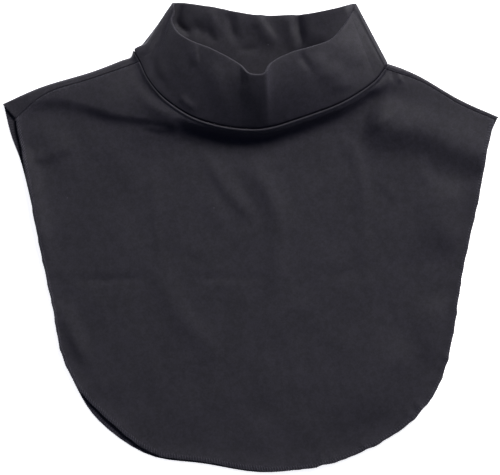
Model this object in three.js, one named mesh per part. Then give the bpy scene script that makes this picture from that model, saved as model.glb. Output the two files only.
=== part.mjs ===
// A turtleneck dickey of thin black knit, lying flat on its back with the front up. A short folded collar band
// is sewn to a front bib and a back bib, which are joined only along the two shoulder seams. The origin is on
// the surface, under the middle of the whole outline. +Z is up, and +Y points to the collar's top edge.
import * as THREE from "three";

// Driving sizes, in millimetres
const shoulderSpan = 420; // from shoulder tip to shoulder tip
const bibLength = 350.5; // from the neck points down to the round hem
const collarRise = 49; // from the neck points up to the collar's top corners
const neckSpan = 213; // across the neck at the collar seam
const neckShift = 10.4; // the neck lies this far to the right of the shoulders' middle
const neckDepth = 59; // from the neck points down to the middle of the front collar seam
const edgeSpan = 155; // across the collar's top corners
const edgeShift = 12.1;
const edgeDip = 62; // from the top corners down to the lowest point of the collar's front edge
const collarLift = 15; // height of the front collar seam over the surface
const collarOpen = 31; // height of the collar's front edge, which holds the mouth open
const bandBulge = 3.5; // how far the front of the band swells between its seam and its edge
const frontPleatRise = 3.6; // the upright pleat in the middle of the band
const backWrinkleRise = 1.6; // soft wrinkles in the back of the band
const bibThickness = 1; // one ply of jersey
const collarThickness = 2.2; // two plies of jersey
const layerGap = 0.6; // air between the two bibs where they lie flat
const foldRoom = 1.3; // inside radius of the fold at each side of the collar
const seamGap = 0.55; // clearance between pieces that are sewn together
const allowanceWidth = 4; // the seam allowance pressed to the bib side of the collar seam
const allowanceRise = 0.8;
const frontFall = 11; // distance over which the front bib drops from the collar seam
const shoulderFall = 30; // the same along the shoulder seams
const cornerReach = 18; // how far the neck's back corner shapes the rolled shoulder edge
const drapeRise = 4; // height of the tallest soft fold of the front bib

// Sizes that follow from them
const neckLine = (bibLength - collarRise) / 2;
const restHeight = 2 * bibThickness + layerGap;
const foldHeight = 2 * (collarThickness + foldRoom);

// The collar's front from the left shoulder seam to the right one. Across and down place the seam, as shares of
// the neck's span and depth. edgeAcross and edgeDown place the top edge, as shares of its span and dip. Rise and
// open are shares of the two lifts over the side folds, and pleat is a share of the middle pleat's height.
const collarFront = [
  { across: -0.489, down: 0.029, rise: 0.1, edgeAcross: -0.493, edgeDown: 0.09, open: 0, pleat: 0 },
  { across: -0.457, down: 0.274, rise: 0.42, edgeAcross: -0.508, edgeDown: 0.24, open: 0.17, pleat: 0 },
  { across: -0.395, down: 0.541, rise: 0.69, edgeAcross: -0.477, edgeDown: 0.404, open: 0.38, pleat: 0 },
  { across: -0.287, down: 0.807, rise: 0.87, edgeAcross: -0.406, edgeDown: 0.528, open: 0.56, pleat: 0 },
  { across: -0.192, down: 0.929, rise: 0.95, edgeAcross: -0.285, edgeDown: 0.651, open: 0.74, pleat: 0 },
  { across: -0.104, down: 0.986, rise: 0.99, edgeAcross: -0.154, edgeDown: 0.836, open: 0.88, pleat: 0 },
  { across: -0.02, down: 1, rise: 1, edgeAcross: -0.047, edgeDown: 1, open: 0.97, pleat: 0.35 },
  { across: 0.016, down: 0.985, rise: 1, edgeAcross: 0.011, edgeDown: 0.967, open: 1, pleat: 1 },
  { across: 0.056, down: 0.955, rise: 1, edgeAcross: 0.055, edgeDown: 0.816, open: 0.94, pleat: 0.4 },
  { across: 0.116, down: 0.886, rise: 0.97, edgeAcross: 0.148, edgeDown: 0.701, open: 0.84, pleat: 0 },
  { across: 0.192, down: 0.793, rise: 0.92, edgeAcross: 0.252, edgeDown: 0.624, open: 0.72, pleat: 0 },
  { across: 0.307, down: 0.634, rise: 0.76, edgeAcross: 0.367, edgeDown: 0.514, open: 0.54, pleat: 0 },
  { across: 0.391, down: 0.461, rise: 0.54, edgeAcross: 0.433, edgeDown: 0.336, open: 0.34, pleat: 0 },
  { across: 0.455, down: 0.284, rise: 0.3, edgeAcross: 0.474, edgeDown: 0.178, open: 0.14, pleat: 0 },
  { across: 0.487, down: 0.13, rise: 0.08, edgeAcross: 0.487, edgeDown: 0.11, open: 0, pleat: 0 },
];

// The collar's back, which lies on the surface, from right to left, with the share of its wrinkles' height
const collarBack = [
  { across: 0.395, down: 0.11, edgeAcross: 0.389, edgeDown: 0.089, wrinkle: 0.2 },
  { across: 0.192, down: 0.2, edgeAcross: 0.244, edgeDown: 0.158, wrinkle: 1 },
  { across: 0.08, down: 0.23, edgeAcross: 0.12, edgeDown: 0.177, wrinkle: 0.15 },
  { across: -0.04, down: 0.23, edgeAcross: -0.038, edgeDown: 0.177, wrinkle: 0.9 },
  { across: -0.227, down: 0.17, edgeAcross: -0.269, edgeDown: 0.071, wrinkle: 0.3 },
  { across: -0.383, down: 0.08, edgeAcross: -0.422, edgeDown: 0.015, wrinkle: 0.1 },
];

// The outermost points of the collar's side folds, as shares of the neck's and the edge's own sizes
const collarFolds = {
  right: { across: 0.503, down: 0.058, edgeAcross: 0.504, edgeDown: 0.014 },
  left: { across: -0.503, down: -0.043, edgeAcross: -0.5, edgeDown: 0.001 },
};

// Each shoulder from neck to tip: the seam, and the fold where the back bib rolls round to the front. Both start
// at the collar. Across and down are shares of the shoulder span and the bib length, from here on.
const shoulders = {
  left: {
    seam: [
      { across: -0.317, down: 0.044 },
      { across: -0.414, down: 0.083 },
      { across: -0.474, down: 0.142 },
    ],
    fold: [
      { across: -0.24, down: -0.006 },
      { across: -0.258, down: 0.005 },
      { across: -0.317, down: 0.034 },
      { across: -0.424, down: 0.073 },
      { across: -0.5, down: 0.109 },
    ],
  },
  right: {
    seam: [
      { across: 0.345, down: 0.052 },
      { across: 0.426, down: 0.108 },
      { across: 0.496, down: 0.145 },
    ],
    fold: [
      { across: 0.308, down: 0.021 },
      { across: 0.345, down: 0.041 },
      { across: 0.426, down: 0.099 },
      { across: 0.5, down: 0.138 },
    ],
  },
};

// Outer edge of the front bib, from below the left shoulder tip round the hem to below the right one
const frontOutline = [
  { across: -0.458, down: 0.243 },
  { across: -0.429, down: 0.432 },
  { across: -0.398, down: 0.606 },
  { across: -0.382, down: 0.708 },
  { across: -0.35, down: 0.791 },
  { across: -0.295, down: 0.863 },
  { across: -0.198, down: 0.952 },
  { across: -0.091, down: 0.974 },
  { across: 0.025, down: 0.996 },
  { across: 0.132, down: 0.987 },
  { across: 0.227, down: 0.947 },
  { across: 0.32, down: 0.878 },
  { across: 0.377, down: 0.793 },
  { across: 0.403, down: 0.694 },
  { across: 0.428, down: 0.514 },
  { across: 0.464, down: 0.327 },
  { across: 0.48, down: 0.201 },
];

// Outer edge of the back bib, which peeps out at the left armhole and at the lower left
const backOutline = [
  { across: -0.483, down: 0.182 },
  { across: -0.463, down: 0.247 },
  { across: -0.427, down: 0.429 },
  { across: -0.395, down: 0.604 },
  { across: -0.379, down: 0.703 },
  { across: -0.351, down: 0.793 },
  { across: -0.307, down: 0.873 },
  { across: -0.206, down: 0.957 },
  { across: -0.091, down: 0.979 },
  { across: 0.025, down: 1 },
  { across: 0.128, down: 0.985 },
  { across: 0.223, down: 0.943 },
  { across: 0.316, down: 0.873 },
  { across: 0.374, down: 0.791 },
  { across: 0.4, down: 0.691 },
  { across: 0.424, down: 0.514 },
  { across: 0.461, down: 0.327 },
  { across: 0.477, down: 0.201 },
];

// Soft folds of the front bib: a crest from one point by way of another to a third, its height as a share of the
// tallest one's, and how far it spreads above and below the crest line, as shares of the bib length
const bibFolds = [
  { from: [-0.388, 0.078], by: [-0.283, 0.121], to: [-0.137, 0.162], rise: 0.85, above: 0.05, below: 0.014 },
  { from: [-0.226, 0.155], by: [-0.198, 0.162], to: [-0.165, 0.165], rise: 0.23, above: 0.01, below: 0.008 },
  { from: [-0.435, 0.223], by: [-0.388, 0.211], to: [-0.327, 0.187], rise: 0.33, above: 0.03, below: 0.01 },
  { from: [0.272, 0.107], by: [0.355, 0.126], to: [0.47, 0.184], rise: 1, above: 0.052, below: 0.03 },
  { from: [0.203, 0.194], by: [0.233, 0.279], to: [0.241, 0.424], rise: 0.38, above: 0.035, below: 0.022 },
  { from: [-0.014, 0.218], by: [0.061, 0.369], to: [0.106, 0.558], rise: 0.5, above: 0.045, below: 0.026 },
  { from: [-0.101, 0.238], by: [-0.05, 0.291], to: [0.001, 0.4], rise: 0.28, above: 0.03, below: 0.022 },
  { from: [-0.182, 0.466], by: [-0.127, 0.623], to: [-0.08, 0.747], rise: 0.33, above: 0.04, below: 0.026 },
  { from: [-0.414, 0.267], by: [-0.392, 0.437], to: [-0.364, 0.582], rise: 0.42, above: 0.03, below: 0.024 },
  { from: [0.428, 0.291], by: [0.409, 0.49], to: [0.391, 0.667], rise: 0.38, above: 0.024, below: 0.03 },
  { from: [0.28, 0.039], by: [0.292, 0.034], to: [0.308, 0.049], rise: 0.45, above: 0.012, below: 0.018 },
];

// How finely the cloth is divided: steps between collar stations, and rows from the neckline outwards. The near
// rows are multiples of the seam allowance, and the far ones are shares of what is left of the way to the edge.
const frontSteps = 4;
const backSteps = 3;
const foldTurns = [0, 45, 90, 135, 180];
const seamReach = 3; // columns beside a shoulder seam that bend with it
const foldReach = 1; // the same beside a shoulder fold
const nearRows = [0, 0.3, 0.65, 1, 1.45, 2, 2.75, 3.75, 5];
const farRows = [0.05, 0.12, 0.2, 0.29, 0.39, 0.5, 0.62, 0.75, 0.88, 1];
const bandRows = [0, 0.12, 0.28, 0.46, 0.64, 0.82, 1];

const plan = (across, down) => new THREE.Vector3(across * shoulderSpan, neckLine - down * bibLength, 0);
const neckPoint = ({ across, down }) =>
  new THREE.Vector3(neckShift + across * neckSpan, neckLine - down * neckDepth, 0);
const edgePoint = ({ edgeAcross, edgeDown }) =>
  new THREE.Vector3(edgeShift + edgeAcross * edgeSpan, neckLine + collarRise - edgeDown * edgeDip, 0);
const atHeight = (point, height) => new THREE.Vector3(point.x, point.y, height);
const splineThrough = (points, closed = false) => new THREE.CatmullRomCurve3(points, closed, "centripetal");

// A point on the rolled edge of a cloth that comes from the surface round a fold to a seam above. Turn is 0 on
// top, where the cloth leads to the seam, and 180 underneath, where it leads to the point called under.
function rollPoint(seam, fold, under, height, turn) {
  const inward = new THREE.Vector3().subVectors(atHeight(turn > 90 ? under : seam, 0), atHeight(fold, 0));
  const radius = Math.min(height / 2, inward.length());
  const angle = THREE.MathUtils.degToRad(turn);
  const point = atHeight(fold, 0).addScaledVector(inward.normalize(), radius * (1 - Math.sin(angle)));
  return atHeight(point, (height / 2) * (1 + Math.cos(angle)));
}

// The closed loops of the collar's seam and of its top edge, station by station
function collarLoops() {
  const seamFront = collarFront.map((row) =>
    atHeight(neckPoint(row), foldHeight + row.rise * (collarLift - foldHeight)));
  const edgeFront = collarFront.map((row) =>
    atHeight(edgePoint(row), foldHeight + row.open * (collarOpen - foldHeight)));
  const sideFold = (side, index, next) => foldTurns.map((turn) => ({
    seam: rollPoint(
      seamFront[index], neckPoint(collarFolds[side]), neckPoint(next), seamFront[index].z, turn),
    edge: rollPoint(
      edgeFront[index], edgePoint(collarFolds[side]), edgePoint(next), edgeFront[index].z, turn),
    wrinkle: 0,
    pleat: 0,
    open: 0,
  }));
  const front = collarFront.map((row, index) => ({
    seam: seamFront[index],
    edge: edgeFront[index],
    wrinkle: 0,
    pleat: row.pleat,
    open: row.open,
  }));
  const back = collarBack.map((row) => ({
    seam: neckPoint(row),
    edge: edgePoint(row),
    wrinkle: row.wrinkle,
    pleat: 0,
    open: 0,
  }));
  const right = sideFold("right", collarFront.length - 1, collarBack[0]);
  const left = sideFold("left", 0, collarBack[collarBack.length - 1]);
  return [...front, ...right, ...back, ...left.reverse()];
}

const stations = collarLoops();
const seamLoop = splineThrough(stations.map((station) => station.seam), true);
const edgeLoop = splineThrough(stations.map((station) => station.edge), true);

// Places along the loops where the cloth is divided, counted in stations
const lastFront = collarFront.length - 1;
const firstBack = lastFront + foldTurns.length;
const lastBack = firstBack + collarBack.length + 1;

function loopPlaces() {
  const places = [];
  for (let station = 0; station < stations.length; station += 1) {
    const inBack = station >= firstBack && station < lastBack;
    const steps = station < lastFront ? frontSteps : inBack ? backSteps : 1;
    for (let step = 0; step < steps; step += 1) places.push(station + step / steps);
  }
  return places;
}

const places = loopPlaces();
const frontPlaces = places.filter((place) => place <= lastFront);
const backPlaces = [...places.filter((place) => place >= lastFront), stations.length].reverse();

function onLoop(curve, place) {
  const point = curve.getPoint((place % stations.length) / stations.length);
  return atHeight(point, Math.max(0, point.z));
}

function traitAt(place) {
  const start = Math.floor(place) % stations.length;
  const end = (start + 1) % stations.length;
  const share = THREE.MathUtils.smoothstep(place - Math.floor(place), 0, 1);
  const mix = (name) => stations[start][name] + (stations[end][name] - stations[start][name]) * share;
  return { wrinkle: mix("wrinkle"), pleat: mix("pleat"), open: mix("open") };
}

// Unit vector square to the collar seam, towards the collar's top edge
function awayFromSeam(place, seam, edge) {
  const nearby = 0.05;
  const before = onLoop(seamLoop, place - nearby + stations.length);
  const direction = new THREE.Vector3().subVectors(onLoop(seamLoop, place + nearby), before).normalize();
  const along = new THREE.Vector3().subVectors(edge, seam);
  return along.addScaledVector(direction, -along.dot(direction)).normalize();
}

// The outer face of the collar band: rows from the seam up to the edge, columns round the loop
function bandSurface() {
  return places.map((place) => {
    const seam = onLoop(seamLoop, place);
    const edge = onLoop(edgeLoop, place);
    const start = seam.clone().addScaledVector(awayFromSeam(place, seam, edge), seamGap);
    const trait = traitAt(place);
    return bandRows.map((row) => {
      const swell = Math.sin(Math.PI * row);
      const point = new THREE.Vector3().lerpVectors(start, edge, row);
      point.z += trait.open * bandBulge * swell;
      point.z += trait.pleat * frontPleatRise * (0.15 + 0.85 * row);
      point.z += trait.wrinkle * backWrinkleRise * swell;
      return point;
    });
  });
}

// Height that the folds add at one place of the front bib
function foldRise(point) {
  let rise = 0;
  for (const fold of bibFolds) {
    const [from, by, to] = [fold.from, fold.by, fold.to].map(([across, down]) => plan(across, down));
    const crest = new THREE.QuadraticBezierCurve3(
      from, by.clone().multiplyScalar(2).addScaledVector(from, -0.5).addScaledVector(to, -0.5), to);
    const samples = crest.getPoints(12);
    let nearest = { distance: Infinity, side: 1, share: 0 };
    for (let index = 0; index < samples.length - 1; index += 1) {
      const step = new THREE.Vector3().subVectors(samples[index + 1], samples[index]);
      const away = new THREE.Vector3().subVectors(point, samples[index]);
      const share = THREE.MathUtils.clamp(away.dot(step) / step.lengthSq(), 0, 1);
      const distance = Math.hypot(away.x - step.x * share, away.y - step.y * share);
      if (distance < nearest.distance) {
        const side = step.x * away.y - step.y * away.x;
        nearest = { distance, side, share: (index + share) / (samples.length - 1) };
      }
    }
    const spread = (nearest.side > 0 ? fold.above : fold.below) * bibLength;
    const taper = Math.sin(Math.PI * THREE.MathUtils.clamp(nearest.share, 0.06, 0.94));
    rise += fold.rise * drapeRise * Math.sqrt(taper) * Math.exp(-((nearest.distance / spread) ** 2));
  }
  return rise;
}

// Height of the front bib's outer face, at a distance from the neckline where its height is seamHeight
function frontHeight(point, seamHeight, distance, fall) {
  const beyond = Math.max(0, distance - allowanceWidth) / fall;
  const mound = (seamHeight - restHeight) / (1 + (1.6 * beyond) ** 3);
  const onAllowance = THREE.MathUtils.smoothstep(distance, 0, 0.3 * allowanceWidth);
  const offAllowance = THREE.MathUtils.smoothstep(distance, 0.9 * allowanceWidth, 1.5 * allowanceWidth);
  const folds = foldRise(point) * THREE.MathUtils.smoothstep(distance, 0, 2 * allowanceWidth);
  return restHeight + mound + allowanceRise * (onAllowance - offAllowance) + folds;
}

// Shares of the way from the neckline to the outer edge, for a way of this length
function rowShares(length) {
  const step = Math.min(allowanceWidth, (0.5 * length) / nearRows[nearRows.length - 1]);
  const near = nearRows.map((multiple) => (multiple * step) / length);
  const start = near[near.length - 1];
  return [...near, ...farRows.map((share) => start + share * (1 - start))];
}

// One shoulder: the seam and the fold as curves from the collar to the tip
function shoulderCurves(side, station, collarBackRow) {
  const seamStart = stations[station].seam;
  const foldStart = neckPoint(collarFolds[side]);
  const underStart = neckPoint(collarBackRow);
  const beside = onLoop(seamLoop, side === "left" ? station + 0.2 : station - 0.2);
  const alongNeck = new THREE.Vector3().subVectors(atHeight(beside, 0), atHeight(seamStart, 0)).normalize();
  const curveOf = (start, rows) =>
    splineThrough([atHeight(start, 0), ...rows.map(({ across, down }) => plan(across, down))]);
  const seam = curveOf(seamStart, shoulders[side].seam);
  const fold = curveOf(foldStart, shoulders[side].fold);
  const length = seam.getLength();
  const heightAt = (share) =>
    frontHeight(seam.getPointAt(share), seamStart.z, share * length, shoulderFall);
  const underAt = (share) => {
    const away = THREE.MathUtils.smoothstep(share * length, 0, cornerReach);
    return new THREE.Vector3().lerpVectors(underStart, seam.getPointAt(share), away);
  };
  const inwardAt = (share) => {
    const inward = new THREE.Vector3().subVectors(seam.getPointAt(share), fold.getPointAt(share)).normalize();
    const away = THREE.MathUtils.smoothstep(share * length, 0, 2 * allowanceWidth);
    return inward.lerpVectors(alongNeck, inward.clone(), away).normalize();
  };
  return { seam, fold, heightAt, underAt, inwardAt, shares: rowShares(length) };
}

const shoulderOf = {
  left: shoulderCurves("left", 0, collarBack[collarBack.length - 1]),
  right: shoulderCurves("right", lastFront, collarBack[0]),
};

// How far a curve strays from the straight way between its ends
const bowOf = (curve, share) => new THREE.Vector3().subVectors(
  curve.getPointAt(share),
  new THREE.Vector3().lerpVectors(curve.getPointAt(0), curve.getPointAt(1), share));

// The straight way from the neckline to the outline, bent near the shoulders as their curves are, which reaches
// over so many columns
function wayPoint(from, to, share, column, count, curves, reach) {
  const point = new THREE.Vector3().lerpVectors(atHeight(from, 0), to, share);
  const nearness = (steps) => Math.exp(-((steps / reach) ** 2));
  point.addScaledVector(bowOf(curves.left, share), nearness(column));
  point.addScaledVector(bowOf(curves.right, share), nearness(count - 1 - column));
  return point;
}

// The outer face of the front bib, whose first and last columns lie along the shoulder seams
function frontSurface() {
  const { left, right } = shoulderOf;
  const rim = splineThrough([
    left.seam.getPointAt(1), ...frontOutline.map(({ across, down }) => plan(across, down)), right.seam.getPointAt(1),
  ]);
  const seams = { left: left.seam, right: right.seam };
  const count = frontPlaces.length;
  return frontPlaces.map((place, column) => {
    const from = onLoop(seamLoop, place);
    const to = rim.getPoint(column / (count - 1));
    const side = column === 0 ? left : column === count - 1 ? right : null;
    const length = Math.hypot(to.x - from.x, to.y - from.y);
    const shares = side ? side.shares : rowShares(length);
    return shares.map((share) => {
      const edge = Math.min(column, count - 1 - column) / (0.14 * count);
      const fall = THREE.MathUtils.lerp(shoulderFall, frontFall, THREE.MathUtils.smoothstep(edge, 0, 1));
      const point = wayPoint(from, to, share, column, count, seams, seamReach);
      if (side) return atHeight(point.addScaledVector(side.inwardAt(share), seamGap), side.heightAt(share));
      return atHeight(point, frontHeight(point, from.z, share * length, fall));
    });
  });
}

// The outer face of the back bib: flat on the surface, and rolled round to both shoulder seams
function backSurface() {
  const { left, right } = shoulderOf;
  const rolled = ({ seam, fold, heightAt, underAt, shares }, turn) => shares.map((share) =>
    rollPoint(seam.getPointAt(share), fold.getPointAt(share), underAt(share), heightAt(share), turn));
  const seamColumn = ({ seam, heightAt, shares }) =>
    shares.map((share) => atHeight(seam.getPointAt(share), heightAt(share)));
  const leftRoll = foldTurns.map((turn) => rolled(left, turn));
  const rightRoll = foldTurns.map((turn) => rolled(right, turn)).reverse();
  const flatPlaces = backPlaces.filter((place) => place > firstBack && place < lastBack);
  const leftEnd = leftRoll[foldTurns.length - 1];
  const rightEnd = rightRoll[0];
  const rim = splineThrough([
    leftEnd[leftEnd.length - 1],
    ...backOutline.map(({ across, down }) => plan(across, down)),
    rightEnd[rightEnd.length - 1],
  ]);
  const folds = { left: left.fold, right: right.fold };
  const count = flatPlaces.length + 2;
  const flat = flatPlaces.map((place, index) => {
    const from = onLoop(seamLoop, place);
    const to = rim.getPoint((index + 1) / (count - 1));
    const length = Math.hypot(to.x - from.x, to.y - from.y);
    return rowShares(length).map((share) => wayPoint(from, to, share, index + 1, count, folds, foldReach));
  });
  return [seamColumn(left), ...leftRoll, ...flat, ...rightRoll, seamColumn(right)];
}

// Unit vectors that stand on the outer face, worked out from the neighbours of each point
function faceNormals(grid, closed, flip) {
  const columns = grid.length;
  const rows = grid[0].length;
  const across = (column, row) => {
    const next = closed ? (column + 1) % columns : Math.min(column + 1, columns - 1);
    const previous = closed ? (column + columns - 1) % columns : Math.max(column - 1, 0);
    const ahead = new THREE.Vector3().subVectors(grid[next][row], grid[column][row]).normalize();
    const behind = new THREE.Vector3().subVectors(grid[column][row], grid[previous][row]).normalize();
    return ahead.add(behind);
  };
  const along = (column, row) => new THREE.Vector3().subVectors(
    grid[column][Math.min(row + 1, rows - 1)], grid[column][Math.max(row - 1, 0)]);
  return grid.map((line, column) => line.map((_, row) =>
    across(column, row).cross(along(column, row)).normalize().multiplyScalar(flip ? -1 : 1)));
}

// A closed solid of cloth under an outer face: the inner face lies one thickness behind it
function clothGeometry(grid, normals, thickness, closed, flip) {
  const columns = grid.length;
  const rows = grid[0].length;
  const positions = [];
  for (const depth of [0, thickness]) {
    grid.forEach((line, column) => line.forEach((point, row) =>
      positions.push(...point.clone().addScaledVector(normals[column][row], -depth))));
  }
  const outer = (column, row) => (column % columns) * rows + row;
  const inner = (column, row) => columns * rows + outer(column, row);
  const faces = [];
  const quad = (a, b, c, d) => (flip ? faces.push(a, c, b, a, d, c) : faces.push(a, b, c, a, c, d));
  const lastColumn = closed ? columns : columns - 1;
  for (let column = 0; column < lastColumn; column += 1) {
    for (let row = 0; row < rows - 1; row += 1) {
      quad(outer(column, row), outer(column + 1, row), outer(column + 1, row + 1), outer(column, row + 1));
      quad(inner(column, row), inner(column, row + 1), inner(column + 1, row + 1), inner(column + 1, row));
    }
    quad(outer(column, 0), inner(column, 0), inner(column + 1, 0), outer(column + 1, 0));
    quad(outer(column, rows - 1), outer(column + 1, rows - 1), inner(column + 1, rows - 1), inner(column, rows - 1));
  }
  for (let row = 0; !closed && row < rows - 1; row += 1) {
    quad(outer(0, row), outer(0, row + 1), inner(0, row + 1), inner(0, row));
    quad(outer(lastColumn, row), inner(lastColumn, row), inner(lastColumn, row + 1), outer(lastColumn, row + 1));
  }
  const geometry = new THREE.BufferGeometry();
  geometry.setAttribute("position", new THREE.Float32BufferAttribute(positions, 3));
  geometry.setIndex(faces);
  geometry.computeVertexNormals();
  return geometry;
}

// Sewn edges lean the same way on both sides of the collar seam, so their end faces stay parallel
function shareSeamNormals(band, bib, bibPlaces) {
  bibPlaces.forEach((place, column) => {
    const match = places.indexOf(place % stations.length);
    const shared = band[match][0].clone().add(bib[column][0]).normalize();
    band[match][0].copy(shared);
    bib[column][0].copy(shared);
  });
}

const frontGrid = frontSurface();
const backGrid = backSurface();
const bandGrid = bandSurface();
const frontNormals = faceNormals(frontGrid, false, true);
const backNormals = faceNormals(backGrid, false, false);
const bandNormals = faceNormals(bandGrid, true, false);
shareSeamNormals(bandNormals, frontNormals, frontPlaces);
shareSeamNormals(bandNormals, backNormals, backPlaces);

const jersey = new THREE.MeshStandardMaterial({ color: 0x2b2a31, roughness: 0.9, metalness: 0 });
const innerJersey = new THREE.MeshStandardMaterial({ color: 0x29282d, roughness: 0.92, metalness: 0 });
const bandJersey = new THREE.MeshStandardMaterial({ color: 0x28272e, roughness: 0.88, metalness: 0 });

function piece(name, geometry, material) {
  const mesh = new THREE.Mesh(geometry, material);
  mesh.name = name;
  return mesh;
}

const group = new THREE.Group();
group.name = "turtleneck_dickey";
group.add(piece("front_bib", clothGeometry(frontGrid, frontNormals, bibThickness, false, true), jersey));
group.add(piece("back_bib", clothGeometry(backGrid, backNormals, bibThickness, false, false), innerJersey));
group.add(piece("collar_band", clothGeometry(bandGrid, bandNormals, collarThickness, true, false), bandJersey));

export default group;
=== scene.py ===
import math
import random
import bpy
import numpy as np
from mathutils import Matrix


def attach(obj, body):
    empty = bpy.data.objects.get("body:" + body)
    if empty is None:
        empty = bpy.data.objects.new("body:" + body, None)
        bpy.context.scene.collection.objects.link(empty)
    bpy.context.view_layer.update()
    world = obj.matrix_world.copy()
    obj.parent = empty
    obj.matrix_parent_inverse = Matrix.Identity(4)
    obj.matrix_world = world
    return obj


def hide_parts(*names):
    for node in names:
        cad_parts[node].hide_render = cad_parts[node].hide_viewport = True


# A turtleneck dickey of black jersey lies on its back on a white surface. Lengths are in millimetres until a
# mesh is made. Places of folds are given in pixels of the picture, whose right and down are +X and -Y.

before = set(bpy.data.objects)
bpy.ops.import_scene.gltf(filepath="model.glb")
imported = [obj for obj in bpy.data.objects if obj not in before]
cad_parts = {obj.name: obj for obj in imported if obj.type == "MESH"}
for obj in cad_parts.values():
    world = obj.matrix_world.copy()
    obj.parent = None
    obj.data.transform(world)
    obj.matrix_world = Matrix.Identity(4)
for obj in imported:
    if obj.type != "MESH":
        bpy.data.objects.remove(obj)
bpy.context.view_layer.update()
print("frame loaded")

millimetre = 0.001
picture = {"pixel": 0.85, "middleX": 249.75, "middleY": 237.3}

# How the three pieces of cloth meet
layout = {
    "shoulderSpan": 420.0,
    "bibLength": 350.5,
    "collarRise": 49.0,
    "neckSpan": 213.0,
    "neckShift": 10.4,
    "neckDepth": 59.0,
    "edgeSpan": 155.0,
    "edgeShift": 12.1,
    "edgeDip": 62.0,
    "collarLift": 15.0,
    "collarOpen": 31.0,
    "foldHeight": 7.0,
    "restHeight": 2.6,
    "seamGap": 0.3,
    "cornerReach": 18.0,
}
neckLine = (layout["bibLength"] - layout["collarRise"]) / 2


def table(columns, rows):
    return {name: np.array(values, float) for name, values in zip(columns.split(), zip(*rows))}


# The collar's front from the left shoulder seam to the right one, as shares of the neck's and the edge's
# sizes. Stations are counted from here round the whole collar.
collarFront = table("across down rise edgeAcross edgeDown open", [
    (-0.489, 0.029, 0.1, -0.493, 0.09, 0),
    (-0.457, 0.274, 0.42, -0.508, 0.24, 0.17),
    (-0.395, 0.541, 0.69, -0.477, 0.404, 0.38),
    (-0.287, 0.807, 0.87, -0.406, 0.528, 0.56),
    (-0.192, 0.929, 0.95, -0.285, 0.651, 0.74),
    (-0.104, 0.986, 0.99, -0.137, 0.857, 0.88),
    (-0.02, 1, 1, -0.087, 0.984, 0.97),
    (0.016, 0.985, 1, 0.002, 0.99, 1),
    (0.056, 0.955, 1, 0.041, 0.846, 0.94),
    (0.116, 0.886, 0.97, 0.148, 0.701, 0.84),
    (0.192, 0.793, 0.92, 0.252, 0.624, 0.72),
    (0.307, 0.634, 0.76, 0.367, 0.514, 0.54),
    (0.391, 0.461, 0.54, 0.433, 0.336, 0.34),
    (0.455, 0.284, 0.3, 0.474, 0.178, 0.14),
    (0.487, 0.13, 0.08, 0.487, 0.11, 0),
])

# The collar's back, from right to left
collarBack = table("across down edgeAcross edgeDown", [
    (0.395, 0.11, 0.389, 0.089),
    (0.192, 0.2, 0.244, 0.158),
    (0.08, 0.23, 0.12, 0.177),
    (-0.04, 0.23, -0.038, 0.177),
    (-0.227, 0.17, -0.269, 0.071),
    (-0.383, 0.08, -0.422, 0.015),
])

# The collar's side folds, right and left
collarFolds = table("across down edgeAcross edgeDown", [
    (0.503, 0.058, 0.504, 0.014),
    (-0.515, -0.13, -0.5, 0.001),
])

# Shoulder seams and the rolled edges beside them, from the neck to the tip, as shares of span and length
shoulderRows = {
    "left": {
        "seam": [(-0.317, 0.044), (-0.414, 0.083), (-0.474, 0.142)],
        "fold": [(-0.24, -0.007), (-0.258, 0.001), (-0.317, 0.028), (-0.424, 0.067), (-0.5, 0.107)],
    },
    "right": {
        "seam": [(0.345, 0.052), (0.426, 0.108), (0.496, 0.145)],
        "fold": [(0.308, 0.021), (0.345, 0.041), (0.427, 0.098), (0.504, 0.139)],
    },
}

# Outer edges of the two bibs, from the left shoulder tip round the hem to the right one
frontOutline = [
    (-0.458, 0.243), (-0.429, 0.432), (-0.398, 0.606), (-0.382, 0.708), (-0.35, 0.791), (-0.295, 0.863),
    (-0.198, 0.952), (-0.091, 0.974), (0.025, 0.996), (0.132, 0.988), (0.232, 0.948), (0.326, 0.878),
    (0.381, 0.793), (0.407, 0.694), (0.431, 0.514), (0.465, 0.327), (0.484, 0.201),
]
backOutline = [
    (-0.483, 0.182), (-0.463, 0.247), (-0.427, 0.429), (-0.395, 0.604), (-0.379, 0.703), (-0.351, 0.793),
    (-0.307, 0.873), (-0.206, 0.957), (-0.091, 0.979), (0.025, 1), (0.128, 0.986), (0.228, 0.944),
    (0.322, 0.873), (0.378, 0.791), (0.404, 0.691), (0.427, 0.514), (0.462, 0.327), (0.481, 0.201),
]


def planPoints(rows):
    across, down = np.array(rows, float).T
    flat = [across * layout["shoulderSpan"], neckLine - down * layout["bibLength"], across * 0]
    return np.stack(flat, axis=-1)


def neckPoints(rows):
    across = layout["neckShift"] + rows["across"] * layout["neckSpan"]
    return np.stack([across, neckLine - rows["down"] * layout["neckDepth"], across * 0], axis=-1)


def edgePoints(rows):
    across = layout["edgeShift"] + rows["edgeAcross"] * layout["edgeSpan"]
    top = neckLine + layout["collarRise"]
    return np.stack([across, top - rows["edgeDown"] * layout["edgeDip"], across * 0], axis=-1)


def atHeight(points, height):
    raised = np.array(points, float)
    raised[..., 2] = height
    return raised


def smoothstep(value, low, high):
    share = np.clip((value - low) / (high - low), 0, 1)
    return share * share * (3 - 2 * share)


def bell(value):
    return np.exp(-(value**2))


def unit(vectors):
    return vectors / np.maximum(np.linalg.norm(vectors, axis=-1, keepdims=True), 1e-9)


# The way from the first point of each line to each of its points
def wayAlong(lines):
    steps = np.linalg.norm(np.diff(lines, axis=0), axis=-1)
    return np.concatenate([np.zeros((1, *steps.shape[1:])), np.cumsum(steps, axis=0)])


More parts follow.
